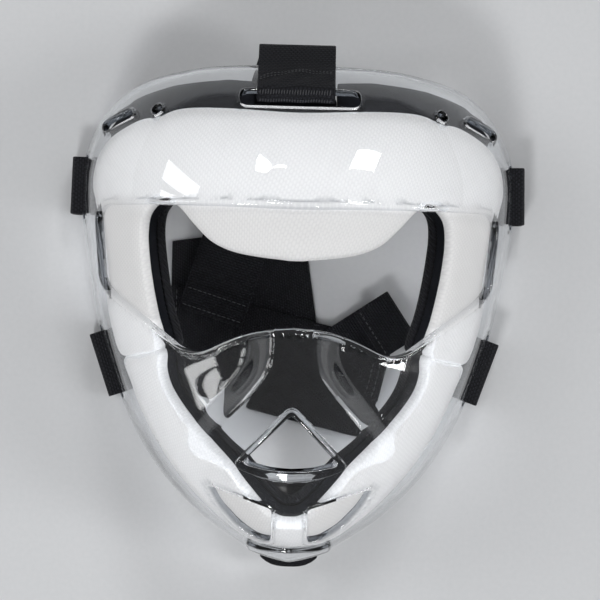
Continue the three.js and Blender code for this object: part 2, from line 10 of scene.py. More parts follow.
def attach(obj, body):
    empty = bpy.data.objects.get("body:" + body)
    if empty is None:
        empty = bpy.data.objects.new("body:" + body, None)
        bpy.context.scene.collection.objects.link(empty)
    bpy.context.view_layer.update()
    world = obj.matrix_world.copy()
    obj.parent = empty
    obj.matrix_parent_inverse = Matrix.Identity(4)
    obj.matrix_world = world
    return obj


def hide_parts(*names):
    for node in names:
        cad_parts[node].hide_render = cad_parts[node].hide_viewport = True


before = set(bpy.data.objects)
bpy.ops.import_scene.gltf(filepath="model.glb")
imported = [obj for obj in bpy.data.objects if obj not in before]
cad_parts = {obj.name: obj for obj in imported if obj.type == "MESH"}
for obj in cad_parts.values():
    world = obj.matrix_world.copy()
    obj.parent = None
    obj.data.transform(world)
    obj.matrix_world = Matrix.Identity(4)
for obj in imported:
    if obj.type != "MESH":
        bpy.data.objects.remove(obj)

ops = bmesh.ops
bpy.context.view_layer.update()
mm = 0.001  # places are worked out in mm

# The dome, as in the CAD: sheets are cut flat and then laid on it
dome = {
    "halfWidth": 110.7,
    "depth": 118,
    "centreY": 22,
    "rimLift": 2.6,
    "faceReach": 1.13,
    "crease": 0.07,
    "rimCut": 0.99,
    "rimTurn": math.radians(78),
    "flatShare": 0.8,
    "shiftY": -0.704,  # the frame's origin is the middle of the whole mask
}
# every 15 degrees up from the chin: radius, height, squareness
rimRows = [
    (1.327, 0.18, 3.0), (1.236, 0.13, 2.9), (1.135, 0.06, 2.8), (1.044, 0.01, 2.7),
    (0.976, 0, 2.6), (0.953, 0, 2.55), (0.965, 0, 2.5), (1.039, 0, 2.4), (1.126, 0.02, 2.25),
    (1.117, 0.2, 2.05), (1.015, 0.365, 1.85), (0.937, 0.4, 1.7), (0.905, 0.41, 1.65),
]
# up the middle of the face: height, nose rise, nose half width
faceRows = [
    (1.034, 0, 0.5), (1.068, 0, 0.5), (1.034, 0, 0.5), (0.924, 0.07, 0.34), (0.831, 0.12, 0.17),
    (0.822, 0.1, 0.16), (0.847, 0.02, 0.16), (0.873, 0, 0.16), (0.886, 0, 0.16),
    (0.894, 0, 0.16), (0.89, 0, 0.16),
]
halfWidth, centreY = dome["halfWidth"], dome["centreY"]
rimTable = np.array(rimRows + rimRows[-2:0:-1])
faceTable = np.array(faceRows)
normalStep = 0.4  # how far to each side a normal looks


def smoothRows(rows, t, closed):
    # uniform Catmull-Rom through the rows, t from 0 to 1
    count = len(rows)
    p = np.asarray(t, float) * (count if closed else count - 1)
    i = np.floor(p).astype(int)
    if closed:
        w = p - i
        p0, p1, p2, p3 = (rows[(i + k) % count] for k in (-1, 0, 1, 2))
    else:
        i = np.clip(i, 0, count - 2)
        w = p - i
        padded = np.vstack([2 * rows[0] - rows[1], rows, 2 * rows[-1] - rows[-2]])
        p0, p1, p2, p3 = (padded[i + k] for k in (0, 1, 2, 3))
    w = w[..., None]
    t0, t1 = 0.5 * (p2 - p0), 0.5 * (p3 - p1)
    return p1 + t0 * w + (-3 * p1 + 3 * p2 - 2 * t0 - t1) * w**2 + (2 * p1 - 2 * p2 + t0 + t1) * w**3


def rimAt(angle):
    row = smoothRows(rimTable, ((np.asarray(angle) + math.pi / 2) / (2 * math.pi)) % 1, True)
    radius = row[..., 0] * halfWidth
    height = dome["rimLift"] + row[..., 1] * dome["depth"]
    length = dome["flatShare"] * (radius + dome["depth"] - height)
    return radius, height, length, row[..., 2]


def domeHeight(x, y, nose):
    reach = dome["faceReach"] * halfWidth
    row = smoothRows(faceTable, np.clip((y + reach) / (2 * reach), 0, 1), False)
    crease = dome["crease"] * halfWidth
    edge = row[..., 2] * halfWidth
    s = np.clip((edge + crease - np.abs(x)) / (2 * crease), 0, 1)
    front = (row[..., 0] + nose * row[..., 1] * s * s * (3 - 2 * s)) * dome["depth"]
    radius, height, _, full = rimAt(np.arctan2(y - centreY, x))
    out = np.hypot(x, y - centreY) / radius
    fall = lambda share: np.maximum(1 - share**full, 0) ** (1 / full)
    rimFall = fall(dome["rimCut"])
    return height + (front - height) * (fall(dome["rimCut"] * out) - rimFall) / (1 - rimFall)


def domePoint(across, up, nose):
    angle = np.arctan2(up, across)
    radius, _, length, _ = rimAt(angle)
    turned = np.hypot(across, up) / length * dome["rimTurn"]
    out = radius * np.sin(turned) / math.sin(dome["rimTurn"])
    x = out * np.cos(angle)
    y = centreY + out * np.sin(angle)
    return np.stack([x, y, domeHeight(x, y, nose)], -1)


def unit(rows):
    return rows / np.linalg.norm(rows, axis=1)[:, None]


def domeNormal(across, up, nose, step=normalStep):
    right = domePoint(across + step, up, nose) - domePoint(across - step, up, nose)
    above = domePoint(across, up + step, nose) - domePoint(across, up - step, nose)
    return unit(np.cross(right, above))


def layOnDome(flat, nose, step=normalStep):
    # flat: across, up and the distance off the dome
    across, up, off = flat.T
    return domePoint(across, up, nose) + domeNormal(across, up, nose, step) * off[:, None]


def laidNormal(flat, nose, step=normalStep):
    # the normal of a sheet that keeps its distance off the dome
    moves = [np.array([move]) for move in ((normalStep, 0, 0), (0, normalStep, 0))]
    right, above = (layOnDome(flat + move, nose, step) - layOnDome(flat - move, nose, step) for move in moves)
    return unit(np.cross(right, above))


def flatPlace(places):
    x, y = places[:, 0], places[:, 1]
    angle = np.arctan2(y - centreY, x)
    radius, _, length, _ = rimAt(angle)
    out = np.hypot(x, y - centreY) / radius
    far = np.arcsin(out * math.sin(dome["rimTurn"])) / dome["rimTurn"] * length
    return np.stack([far * np.cos(angle), far * np.sin(angle)], 1)


# Outlines
def runAlong(points, closed):
    # the points, a ring's first one once more at its end, and how far along each of them is
    ring = np.vstack([points, points[:1]]) if closed else points
    return ring, np.concatenate([[0], np.cumsum(np.linalg.norm(np.diff(ring, axis=0), axis=1))])


def evenly(points, spacing, closed=True):
    ring, run = runAlong(points, closed)
    count = max(8, round(run[-1] / spacing))
    at = np.linspace(0, run[-1], count + 1)[: None if not closed else -1]
    return np.stack([np.interp(at, run, ring[:, k]) for k in range(ring.shape[1])], 1)


def rounded(corners, closed=True, steps=10):
    # corners: place and how far back the rounding starts
    out = []
    for i, (x, y, r) in enumerate(corners):
        here = np.array([x, y], float)
        inner = closed or 0 < i < len(corners) - 1
        if not inner or r == 0:
            out.append(here)
            continue
        before = np.array(corners[i - 1][:2], float) - here
        after = np.array(corners[(i + 1) % len(corners)][:2], float) - here
        start = here + before * r / np.linalg.norm(before)
        end = here + after * r / np.linalg.norm(after)
        for t in np.linspace(0, 1, steps + 1):
            out.append((1 - t) ** 2 * start + 2 * t * (1 - t) * here + t * t * end)
    return np.array(out)


def shares(rows):
    return [tuple(v * halfWidth for v in row) for row in rows]


def bothHalves(half):
    half = shares(half)
    return half + [(-x, *rest) for x, *rest in half[1:-1]][::-1]


def flatLoop(corners, spacing=1.2):
    return evenly(flatPlace(evenly(rounded(corners), 0.5)), spacing)


def smoothLoop(half, spacing=2.4):
    rows = np.array(bothHalves(half))
    return evenly(flatPlace(smoothRows(rows, np.linspace(0, 1, 600, endpoint=False), True)), spacing)


def insideLoop(places, loop):
    x, y = places[:, 0:1], places[:, 1:2]
    x0, y0 = loop[:, 0], loop[:, 1]
    x1, y1 = np.roll(x0, -1), np.roll(y0, -1)
    crosses = (y0 > y) != (y1 > y)
    at = x0 + (y - y0) * (x1 - x0) / np.where(y1 == y0, 1e-9, y1 - y0)
    return (crosses & (x < at)).sum(1) % 2 == 1


def farFrom(places, loop, reach=9.0):
    # distance to an outline, worked out only within its reach and a few places at a time
    found = np.full(len(places), reach)
    atOnce, sparse, margin, tiny = 2000, 5, 6, 1e-9
    d = np.roll(loop, -1, 0) - loop
    size = np.maximum((d * d).sum(1), tiny)  # a path that doubles back has a step of no length
    close = np.flatnonzero(((places > loop.min(0) - reach) & (places < loop.max(0) + reach)).all(1))
    for k in range(0, len(close), atOnce):
        here = close[k : k + atOnce]
        gap = ((places[here, None, :] - loop[::sparse]) ** 2).sum(2).min(1)
        here = here[gap < (reach + margin) ** 2]
        off = places[here, None, :] - loop
        t = np.clip((off * d).sum(2) / size, 0, 1)
        found[here] = np.minimum(reach, np.sqrt(((off - t[..., None] * d) ** 2).sum(2).min(1)))
    return found


def nearest(places, loops):
    return np.minimum.reduce([farFrom(places, loop) for loop in loops])


def addRings(bm, rings):
    # even rings along the edges, the first one outermost
    for thickness in reversed(rings):
        ops.inset_region(
            bm, faces=bm.faces, use_boundary=True, use_even_offset=True, thickness=thickness)


def refine(bm, loops, reach):
    # halves the cells within reach of the outlines
    bm.verts.index_update()
    near = nearest(np.array([v.co[:2] for v in bm.verts]), loops) < reach
    inner = [e for e in bm.edges if not e.is_boundary and near[e.verts[0].index] and near[e.verts[1].index]]
    ops.subdivide_edges(bm, edges=inner, cuts=1, use_grid_fill=True)
    ops.triangulate(bm, faces=[f for f in bm.faces if len(f.verts) > 4])


def flatGrid(low, high, counts, z=0):
    bm = bmesh.new()
    ops.create_grid(bm, x_segments=counts[0], y_segments=counts[1], size=0.5)
    ops.scale(bm, verts=bm.verts, vec=(*(high - low), 1))
    ops.translate(bm, verts=bm.verts, vec=(*(low + high) / 2, z))
    return bm


def flatSheet(loops, cell, band, rings, finer=()):
    # a flat sheet inside the first outline and outside the others
    low, high = loops[0].min(0) - cell, loops[0].max(0) + cell
    bm = flatGrid(low, high, [math.ceil(side / cell) for side in high - low])
    places = np.array([v.co[:2] for v in bm.verts])
    keep = insideLoop(places, loops[0]) & (nearest(places, loops) > band)
    for loop in loops[1:]:
        keep &= ~insideLoop(places, loop)
    ops.delete(bm, geom=[v for v, k in zip(bm.verts, keep) if not k], context="VERTS")
    ops.delete(bm, geom=[e for e in bm.edges if e.is_wire], context="EDGES")
    ops.delete(bm, geom=[v for v in bm.verts if not v.link_faces], context="VERTS")
    edges = [e for e in bm.edges if e.is_boundary]
    for loop in loops:
        ring = [bm.verts.new((x, y, 0)) for x, y in loop]
        edges += [bm.edges.new((ring[i - 1], ring[i])) for i in range(len(ring))]
    ops.triangle_fill(bm, use_beauty=True, use_dissolve=False, normal=(0, 0, 1), edges=edges)
    ops.recalc_face_normals(bm, faces=bm.faces)
    if bm.faces[0].normal.z < 0:
        ops.reverse_faces(bm, faces=bm.faces)
    for marks, reach in finer:
        refine(bm, marks, reach)
    addRings(bm, rings)
    return bm


def places(bm):
    return np.array([v.co[:] for v in bm.verts])


def putBack(bm, found):
    for v, co in zip(bm.verts, found):
        v.co = co


def keepFlatPlace(bm, spread=None):
    # the piece's own map is its flat place in mm, so that a knit or weave follows it
    layer = bm.loops.layers.uv.new("flat")
    found = places(bm)
    flat = found[:, :2] if spread is None else found[:, :2] + spread(found)
    bm.verts.index_update()
    for face in bm.faces:
        for loop in face.loops:
            loop[layer].uv = flat[loop.vert.index]


def overEdge(distance, radius):
    # how far a rounded edge has dropped at a distance from the outline
    left = np.clip(radius - distance, 0, radius)
    return radius - np.sqrt(radius**2 - left**2)


def linked(name, data):
    obj = bpy.data.objects.new(name, data)
    bpy.context.scene.collection.objects.link(obj)
    return obj


def meshObject(name, bm, material):
    mesh = bpy.data.meshes.new(name)
    bm.to_mesh(mesh)
    bm.free()
    mesh.materials.append(material)
    return linked(name, mesh)


def piece(name, bm, material, body, slot, node=None):
    # world places are in the frame, in metres
    found = places(bm)
    found[:, 1] += dome["shiftY"]
    putBack(bm, found * mm)
    ops.recalc_face_normals(bm, faces=bm.faces)
    obj = meshObject(name, bm, material)
    obj.data.shade_smooth()
    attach(obj, body)
    if node:
        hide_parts(node)
    return obj


def stitchRow(bm, points, length=2.2, thick=0.32):
    # one small dash of thread at each place: x, y, z and its turn
    for x, y, z, turn in points:
        made = ops.create_icosphere(bm, subdivisions=1, radius=1)["verts"]
        ops.scale(bm, verts=made, vec=(length / 2, thick, thick * 0.8))
        ops.rotate(bm, verts=made, matrix=Matrix.Rotation(turn, 3, "Z"))
        ops.translate(bm, verts=made, vec=(x, y, z))


# Materials
def hexColour(code):
    parts = [int(code[i : i + 2], 16) / 255 for i in (0, 2, 4)]
    return [c / 12.92 if c <= 0.04045 else ((c + 0.055) / 1.055) ** 2.4 for c in parts] + [1]


def newMaterial(name):
    # a cleared material, and the place on the object that its patterns follow
    mat = bpy.data.materials.new(name)
    mat.use_nodes = True
    mat.node_tree.nodes.clear()
    return mat, add(mat, "TexCoord").outputs["Object"]


def add(mat, kind, settings=None, links=None):
    # a node as a link's source stands for its first output
    node = mat.node_tree.nodes.new("ShaderNode" + kind)
    for key, value in (settings or {}).items():
        if key in node.inputs.keys() or isinstance(key, int):
            node.inputs[key].default_value = value
        else:
            setattr(node, key, value)
    for key, source in (links or {}).items():
        socket = source if isinstance(source, bpy.types.NodeSocket) else source.outputs[0]
        mat.node_tree.links.new(socket, node.inputs[key])
    return node


def clearPolycarbonate():
    # injection moulded polycarbonate: water clear, glossy, faintly wavy from the mould
    mat, here = newMaterial("clearPolycarbonate")
    waves = add(mat, "TexNoise", {"Scale": 28.0, "Detail": 1.0}, {"Vector": here})
    bump = add(mat, "Bump", {"Strength": 0.04, "Distance": 0.002}, {"Height": waves})
    rub = add(mat, "TexNoise", {"Scale": 160.0, "Detail": 6.0}, {"Vector": here})
    rough = add(mat, "MapRange", {"From Min": 0.45, "From Max": 0.8, "To Min": 0.015, "To Max": 0.09},
                {"Value": rub})
    # painted shade: the base colour is greyed along the edges and at the feet of the ridges, as the point
    # attribute gives
    edge = add(mat, "Attribute", {"attribute_name": "paintedEdgeShade"})
    paintedShade = add(mat, "Mix", {"data_type": "RGBA", 6: hexColour("fbfdff"), 7: hexColour("80868e")},
               {0: edge.outputs["Fac"]})
    steep = add(mat, "Attribute", {"attribute_name": "steepEdge"})
    cover = add(mat, "MapRange", {"To Min": 1.0, "To Max": 0.4}, {"Value": steep.outputs["Fac"]})
    plastic = add(mat, "BsdfPrincipled", {"IOR": 1.585, "Transmission Weight": 1.0},
                  {"Base Color": paintedShade.outputs[2], "Normal": bump,
                   "Roughness": rough, "Alpha": cover})
    lamps = add(mat, "LightPath")
    through = add(mat, "BsdfTransparent", {"Color": hexColour("e3e3e4")})
    mix = add(mat, "MixShader", None, {0: lamps.outputs["Is Shadow Ray"], 1: plastic, 2: through})
    return mat, mix


def woven(name, colour, hollowShadeColour, along, across, strength, depth, roughness, sheen, slant=0, onWalls=False):
    # crossing threads: rows of raised dashes, each row half a step on; sizes in mm
    mat, here = newMaterial(name)
    if onWalls:
        # ribs that stand on the side walls of a pad, whichever way they face
        split = add(mat, "SeparateXYZ", None, {"Vector": here})
        total = add(mat, "Math", {"operation": "ADD"}, {0: split.outputs["X"], 1: split.outputs["Y"]})
        run, side = (
            add(mat, "Math", {"operation": "DIVIDE", 1: mm}, {0: source})
            for source in (total, split.outputs["Z"])
        )
    else:
        uv = add(mat, "UVMap", {"uv_map": "flat"})
        split = add(mat, "SeparateXYZ", None, {"Vector": uv.outputs["UV"]})
        side = split.outputs["Y"]
        lean = add(mat, "Math", {"operation": "MULTIPLY", 1: slant}, {0: side})
        run = add(mat, "Math", {"operation": "SUBTRACT"}, {0: split.outputs["X"], 1: lean})
    u = add(mat, "Math", {"operation": "DIVIDE", 1: along}, {0: run})
    row = add(mat, "Math", {"operation": "FLOOR"}, {0: u})
    dashes = add(mat, "Math", {"operation": "DIVIDE", 1: across}, {0: side})
    v = add(mat, "Math", {"operation": "MULTIPLY_ADD", 1: 0.5}, {0: row, 2: dashes})
    # each thread bulges across its own width and along each of its dashes
    bulges = []
    for bulge in (u, v):
        for operation, value in (("FRACT", 0), ("MULTIPLY", math.pi), ("SINE", 0), ("POWER", 0.6)):
            bulge = add(mat, "Math", {"operation": operation, 1: value}, {0: bulge})
        bulges.append(bulge)
    height = add(mat, "Math", {"operation": "MULTIPLY"}, {0: bulges[0], 1: bulges[1]})
    hairs = add(mat, "TexNoise", {"Scale": 2400.0, "Detail": 4.0}, {"Vector": here})
    patches = add(mat, "TexNoise", {"Scale": 45.0, "Detail": 3.0}, {"Vector": here})
    rough = add(mat, "Math", {"operation": "MULTIPLY_ADD", 1: 0.3}, {0: hairs, 2: height})
    bump = add(mat, "Bump", {"Strength": strength, "Distance": depth * mm}, {"Height": rough})
    # the colour is darker where the threads sink: painted shade in the hollows between them, with random
    # patches of tone
    shade = add(mat, "Math", {"operation": "MULTIPLY_ADD", "use_clamp": True, 1: 0.35},
                {0: patches, 2: height})
    ramp = add(mat, "Mix", {"data_type": "RGBA", 6: hexColour(hollowShadeColour), 7: hexColour(colour)}, {0: shade})
    cloth = add(mat, "BsdfPrincipled", {
        "Roughness": roughness, "Sheen Weight": sheen, "Sheen Roughness": 0.5, "Specular IOR Level": 0.16,
    }, {"Base Color": ramp.outputs[2], "Normal": bump})
    return mat, cloth


def foamRubber():
    # closed-cell foam: matt black, fine pores
    mat, here = newMaterial("closedCellFoam")
    pores = add(mat, "TexVoronoi", {"Scale": 1400.0}, {"Vector": here})
    bump = add(mat, "Bump", {"Strength": 0.35, "Distance": 0.0004}, {"Height": pores})
    tone = add(mat, "TexNoise", {"Scale": 90.0, "Detail": 4.0}, {"Vector": here})
    mix = add(mat, "Mix", {"data_type": "RGBA", 6: hexColour("0d0e11"), 7: hexColour("1d1f25")}, {0: tone})
    foam = add(mat, "BsdfPrincipled", {"Roughness": 0.9, "Specular IOR Level": 0.12},
               {"Base Color": mix.outputs[2], "Normal": bump})
    return mat, foam


def hookTape():
    # woven nylon hooks: a dense pile of tiny stiff hooks
    mat, here = newMaterial("nylonHookTape")
    hooks = add(mat, "TexVoronoi", {"Scale": 900.0, "Randomness": 0.5}, {"Vector": here})
    bump = add(mat, "Bump", {"Strength": 0.8, "Distance": 0.0008, "invert": True}, {"Height": hooks})
    # the tape is lighter on the hooks' tops and darker between them: painted shade between the hooks
    mix = add(mat, "Mix", {"data_type": "RGBA", 6: hexColour("24262b"), 7: hexColour("08090b")}, {0: hooks})
    nylon = add(mat, "BsdfPrincipled", {"Roughness": 0.55, "Specular IOR Level": 0.5},
                {"Base Color": mix.outputs[2], "Normal": bump})
    return mat, nylon


def thread(name, colour):
    # polyester sewing thread
    mat, here = newMaterial(name)
    twist = add(mat, "TexNoise", {"Scale": 1800.0, "Detail": 2.0}, {"Vector": here})
    bump = add(mat, "Bump", {"Strength": 0.4, "Distance": 0.0002}, {"Height": twist})
    shade = add(mat, "MapRange", {"To Min": 0.4, "To Max": 0.65}, {"Value": twist})
    yarn = add(mat, "BsdfPrincipled", {"Base Color": hexColour(colour), "Sheen Weight": 0.2},
               {"Normal": bump, "Roughness": shade})
    return mat, yarn


looks = {
    "shell": clearPolycarbonate(),
    # brushed spacer knit: slanted rows of small stitches, a soft nap
    "knit": woven("whiteSpacerKnit", "ebebeb", "e0e0e1", 1.6, 2.8, 0.35, 0.4, 0.9, 0.1, slant=0.26),
    "lining": woven("blackRibbedLining", "1a1b20", "060608", 1.6, 4.0, 0.7, 0.6, 0.85, 0.08, onWalls=True),
    "foam": foamRubber(),
    # polypropylene webbing, plain weave, threads 1.3 mm apart
    "webbing": woven("blackWovenWebbing", "222328", "020202", 1.3, 2.1, 0.9, 0.6, 0.66, 0.02),
    "elastic": woven("blackWovenElastic", "26272b", "020203", 1.2, 1.6, 0.9, 0.5, 0.78, 0.03),
    "hooks": hookTape(),
    "thread": thread("blackSewingThread", "35363b"),
    "whiteThread": thread("whiteSewingThread", "e9ebee"),
}
for key, (mat, shader) in looks.items():
    add(mat, "OutputMaterial", None, {"Surface": shader})
    looks[key] = mat
print("materials ready")

# The shell
shell = {
    "wall": 3.2,
    "cell": 2.8,
    "band": 2.9,
    "edgeRound": 1.15,
    "rings": [0.06, 0.12, 0.18, 0.26, 0.34, 0.42, 0.5],
    "beadHeight": 0.9,
    "beadWidth": 2.4,
    "rollHeight": 1.3,
    "rollWidth": 3.4,
    "flareHeight": 1.2,
    "flareWidth": 5.2,
    "mouthLipHeight": 1.9,
    "chinLipHeight": 2.0,
    "lipFoot": 0.8,
    "rimSpacing": 1.6,
    "loopSpacing": 1.0,
    "flareSpacing": 0.6,
    "ridgeReach": [6.4, 4.2],  # the cells are halved within these distances
    "creaseReach": [8.8, 7.8],
    "lipReach": 2.0,
    "creaseFoot": -75,
    "frontBend": normalStep,
    "insideBend": 5,  # the inside of the wall takes the nose's folds in a wider bend
    "steepFrom": [85, 110],
}
wall = shell["wall"]
# painted shade: the base colour is darkened where the wall turns, along the edges and at the foot of each
# ridge: share, width of the line
shadeLines = {
    "edge": (1, 0.7),
    "eyeEdge": (0.7, 0.7),
    "eyeFoot": (0.95, 0.6),
    "beadFoot": (0.6, 0.45),
    "lipFoot": (0.6, 0.6),
    "flareFoot": (0.5, 0.5),
}
eye = [(0, 0.45, 0), (0.891, 0.461, 0.08), (0.868, 0.13, 0.03), (0.822, 0.074, 0.038),
       (0.436, -0.196, 0.09), (0.28, -0.117, 0.055), (0.145, -0.068, 0.06), (0, -0.057, 0)]
mouth = [(0, -0.426, 0.022), (0.203, -0.633, 0.03), (0.1, -0.658, 0.03), (0, -0.664, 0)]
mouthLip = [(0, -0.39, 0.036), (0.25, -0.65, 0.045), (0.12, -0.7, 0.05), (0, -0.712, 0)]
chinVent = [(0.08, -0.838, 0.015), (0.082, -0.995, 0.018), (0.138, -0.989, 0.03),
            (0.224, -0.935, 0.04), (0.307, -0.84, 0.04), (0.352, -0.752, 0.012)]
ventFlare = [(0.346, -0.766, 0), *chinVent[4:1:-1], (0.1, -0.99, 0)]  # its outer side is rolled up
chinLip = [(0, -1.035, 0), (0.14, -1.03, 0.03), (0.185, -1.005, 0.02), (0.185, -1.05, 0.03), (0, -1.1, 0)]
templeSlot = [(0.736, 0.856, 0.012), (0.75, 0.89, 0.02), (0.888, 0.836, 0.02), (0.877, 0.793, 0.02)]
crownSlot = {"y": 104.0, "halfLength": 29, "halfWidth": 4}
ventHole = {"x": 69.3, "y": 97.42, "radius": 3.0}
loopSlot = {"rise": 11.4, "half": 3.3, "endGap": 1.8}
sideStraps = {
    "temple": {"y": 62, "width": 29, "length": 30},
    "jaw": {"y": -28, "width": 33, "length": 15},
}


def rimAngle(y):
    angles = np.linspace(-math.pi / 2, math.pi / 2, 4001)
    radius = rimAt(angles)[0]
    return float(np.interp(y, centreY + radius * np.sin(angles), angles))


def loopSlotOutline(strap, side):
    half = strap["width"] / 2 + loopSlot["endGap"]
    turns = np.linspace(rimAngle(strap["y"] - half), rimAngle(strap["y"] + half), 14)
    length = rimAt(turns)[2]
    rows = []
    for rise, order in ((-loopSlot["half"], 1), (loopSlot["half"], -1)):
        far = length - loopSlot["rise"] - rise
        rows.append(np.stack([side * far * np.cos(turns), far * np.sin(turns)], 1)[::order])
    corners = [(*place, 0 if 0 < i < len(row) - 1 else 1.5) for row in rows for i, place in enumerate(row)]
    return evenly(rounded(corners, steps=4), 1.2)


def bead(distance, width):
    # a low ridge along an edge, with a crisp foot
    return np.sin(math.pi * np.clip(distance / width, 0, 1)) ** 0.8


def softStep(value, low, high):
    s = np.clip((value - low) / (high - low), 0, 1)
    return s * s * (3 - 2 * s)


def makeShell():
    turns = np.linspace(-math.pi, math.pi, 900, endpoint=False)
    length = rimAt(turns)[2]
    rim = evenly(np.stack([length * np.cos(turns), length * np.sin(turns)], 1), shell["rimSpacing"])
    slotX, slotY, slotW = crownSlot["halfLength"], crownSlot["y"], crownSlot["halfWidth"]
    slot = [(x, slotY + y, slotW) for x, y in (
        (-slotX, -slotW), (slotX, -slotW), (slotX, slotW), (-slotX, slotW))]
    plain = [flatLoop(bothHalves(eye))]
    beaded = [flatLoop(outline, shell["loopSpacing"]) for outline in (bothHalves(mouth), slot)]
    for side in (1, -1):
        turned = lambda rows: [(side * x, *rest) for x, *rest in shares(rows)][::side]
        beaded += [flatLoop(turned(rows), shell["loopSpacing"]) for rows in (chinVent, templeSlot)]
        centre = flatPlace(np.array([[side * ventHole["x"], ventHole["y"]]]))[0]
        around = np.linspace(0, 2 * math.pi, 26, endpoint=False)
        beaded.append(centre + ventHole["radius"] * np.stack([np.cos(around), np.sin(around)], 1))
        plain += [loopSlotOutline(strap, side) for strap in sideStraps.values()]
    lips = [(flatLoop(bothHalves(rows)), height) for rows, height in (
        (mouthLip, shell["mouthLipHeight"]), (chinLip, shell["chinLipHeight"]))]
    marks = [loop for loop, _ in lips]
    flares, creases = [], []
    up = np.linspace(shell["creaseFoot"], 0, 60)
    reach = dome["faceReach"] * halfWidth
    half = smoothRows(faceTable, (up + reach) / (2 * reach), False)[:, 2] * halfWidth
    for side in (1, -1):
        flare = rounded([(side * x, y, r) for x, y, r in shares(ventFlare)], False)
        crease = np.stack([side * half, up], 1)
        for paths, path in ((flares, evenly(flare, shell["flareSpacing"], False)), (creases, crease)):
            path = flatPlace(path)
            paths.append(np.vstack([path, path[::-1]]))  # there and back, as an outline
    ridges = [plain[0], *beaded, *marks, *flares]
    finer = [(ridges, shell["ridgeReach"][0]), *[(creases, far) for far in shell["creaseReach"]],
             (ridges, shell["ridgeReach"][1]), (marks, shell["lipReach"])]
    bm = flatSheet([rim, *plain, *beaded], shell["cell"], shell["band"], shell["rings"], finer)
    ops.solidify(bm, geom=bm.faces[:], thickness=wall)
    found = places(bm)
    flat = found[:, :2]
    low, high = found[:, 2].min(), found[:, 2].max()
    front = found[:, 2] > (low + high) / 2
    atOpening = nearest(flat, beaded)
    atEye = farFrom(flat, plain[0])
    edge = np.minimum(nearest(flat, [rim, *plain]), atOpening)
    lift = np.maximum(shell["beadHeight"] * bead(atOpening, shell["beadWidth"]),
                      shell["rollHeight"] * bead(atEye, shell["rollWidth"]))

    def line(distance, kind):
        share, width = shadeLines[kind]
        return share * np.exp(-((distance / width) ** 2))

    # how much painted shade darkens the base colour: lines along the edges and at the feet of the roll,
    # beads, lips and flares
    paintedShade = np.maximum.reduce([
        np.where(atEye < 2, line(edge, "eyeEdge"), line(edge, "edge")),
        line(atEye - shell["rollWidth"], "eyeFoot"),
        line(atOpening - shell["beadWidth"], "beadFoot"),
    ])
    for loop, height in lips:
        inside = insideLoop(flat, loop)
        signed = np.where(inside, 1, -1) * farFrom(flat, loop)
        lift = np.maximum(lift, height * softStep(signed, -shell["lipFoot"], shell["lipFoot"]))
        paintedShade = np.maximum(paintedShade, line(signed, "lipFoot"))
    atFlare = nearest(flat, flares)
    lift = np.maximum(lift, shell["flareHeight"] * bead(atFlare, shell["flareWidth"]))
    paintedShade = np.maximum(paintedShade, line(atFlare - shell["flareWidth"], "flareFoot"))
    drop = overEdge(edge, shell["edgeRound"])
    depth = np.where(front, lift - drop, drop - wall)
    keepFlatPlace(bm)
    laid = np.column_stack([flat, depth])
    bend = np.where(front, shell["frontBend"], shell["insideBend"])
    putBack(bm, layOnDome(laid, 1, bend))
    obj = piece("faceShell", bm, looks["shell"], "mask", "clear_plastic", "face_shell")
    # the eye opening's side edges stand so steep that they are seen along their depth
    steep = np.interp(np.abs(flat[:, 0]), shell["steepFrom"], [0, 1]) * (atEye < shell["rollWidth"] + 1)
    for name, values in (("paintedEdgeShade", paintedShade), ("steepEdge", steep)):
        obj.data.attributes.new(name, "FLOAT", "POINT").data.foreach_set("value", values)
    # where the wall is plain its shading follows the dome itself
    level = (lift < 0.001) & (edge > shell["edgeRound"])
    normals = laidNormal(laid, 1, bend) * (np.where(front, 1, -1) * level)[:, None]
    obj.data.normals_split_custom_set_from_vertices(normals)


makeShell()
print("shell made")

# Cushions
cushion = {
    "thickness": 18,
    "cover": 1.4,
    "coverDepth": 4.6,
    "foamDepth": 10.4,
    "coverGap": 0.5,
    "layerGap": 1.3,
    "frontRound": 3.0,
    "backRound": 4.0,
    "clearance": 0.7,
    "cell": 2.6,
    "band": 6.3,
    "rings": [0.12, 0.22, 0.4, 0.65, 0.9, 1.2, 1.5],
    "inset": 0.3,  # the cover's front lies this far in, and its wrinkles rise by as much
    "notch": {"left": -22.2, "right": 18.2, "low": 105.2},
    "recess": {"left": -21.9, "right": 17.9, "low": 97, "high": 111, "depth": 3.3},
    "edgeSpacing": 2.2,
    "sewnUp": 0.9,
    "stitchSpacing": 2.3,
    "flush": 0.1,
}
foreheadHalf = [
    (0, 0.89), (0.316, 0.902), (0.52, 0.898), (0.63, 0.862), (0.73, 0.842), (0.855, 0.77), (0.917, 0.678),
    (0.935, 0.56), (0.917, 0.479), (0.899, 0.397), (0.876, 0.226), (0.856, 0.036), (0.831, -0.09),
    (0.781, -0.211), (0.688, -0.2), (0.612, -0.172), (0.648, -0.036), (0.675, 0.081),
    (0.695, 0.199), (0.704, 0.325), (0.685, 0.43), (0.61, 0.496), (0.535, 0.466), (0.461, 0.386),
    (0.379, 0.309), (0.28, 0.265), (0.145, 0.243), (0, 0.234),
]
jawHalf = [
    (0, -0.935), (0.06, -0.928), (0.122, -0.885), (0.168, -0.835), (0.23, -0.755), (0.294, -0.662),
    (0.382, -0.565), (0.487, -0.462), (0.572, -0.347), (0.602, -0.26), (0.606, -0.182),
    (0.688, -0.208), (0.77, -0.225), (0.732, -0.334), (0.691, -0.434), (0.623, -0.56),
    (0.542, -0.678), (0.425, -0.813), (0.31, -0.922), (0.181, -1.01), (0, -1.045),
]
edgeRight = [
    (0.32, 1.07), (0.575, 1.045), (0.785, 0.985), (0.915, 0.85), (0.87, 0.74), (0.72, 0.8), (0.5, 0.85),
]
frontDepth = -wall - cushion["clearance"]
coverEnd = frontDepth - cushion["coverDepth"]
coreFront = frontDepth - cushion["cover"] - cushion["coverGap"]
foamEnd = frontDepth - cushion["foamDepth"]


